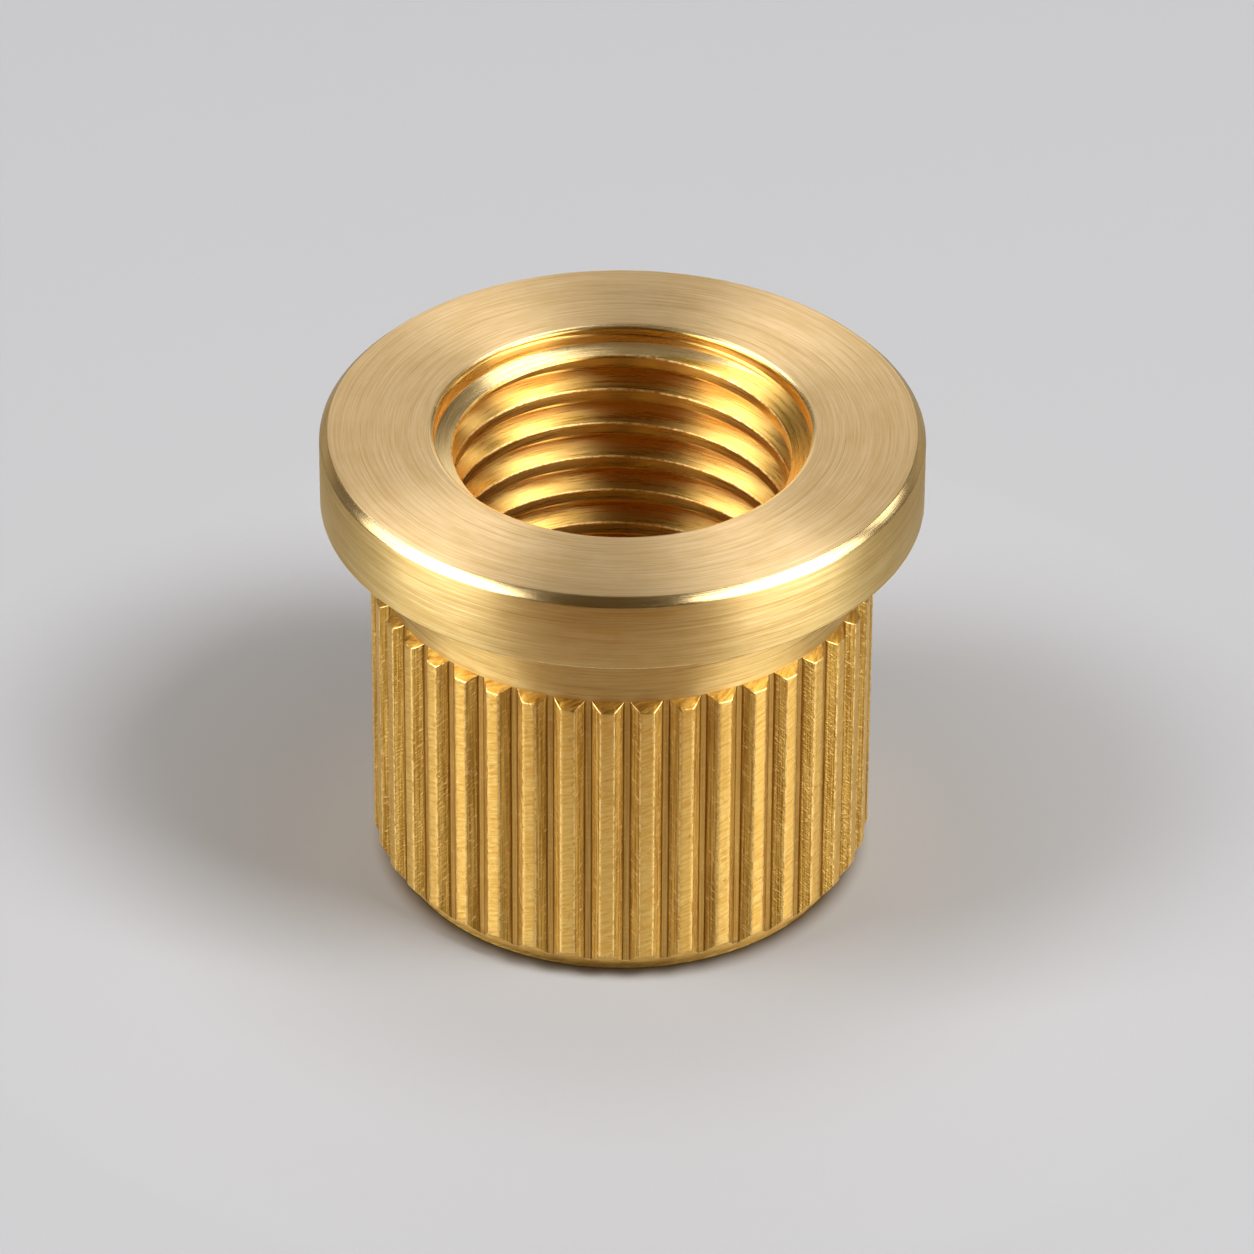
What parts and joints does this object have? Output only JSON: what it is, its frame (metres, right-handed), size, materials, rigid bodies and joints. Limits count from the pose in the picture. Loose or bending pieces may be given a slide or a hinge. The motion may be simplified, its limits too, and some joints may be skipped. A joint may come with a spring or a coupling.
{
  "type": "threaded brass insert",
  "caption": "Flanged cylindrical insert with a straight-knurled shank, a plain neck under the flange and a tapped through bore.",
  "frame": {"origin": "on the axis, at the middle of the flat ring of the base", "axes": "+Z along the axis of the bore, from the base up to the flange; one tooth of the knurl stands 3.05 degrees to the -X side of -Y"},
  "size_m": [0.0222, 0.0222, 0.0182],
  "materials": {
    "turned_brass": "satin, as turned"
  },
  "bodies": {
    "root": {"threaded_insert": "turned_brass"}
  },
  "joints": []
}
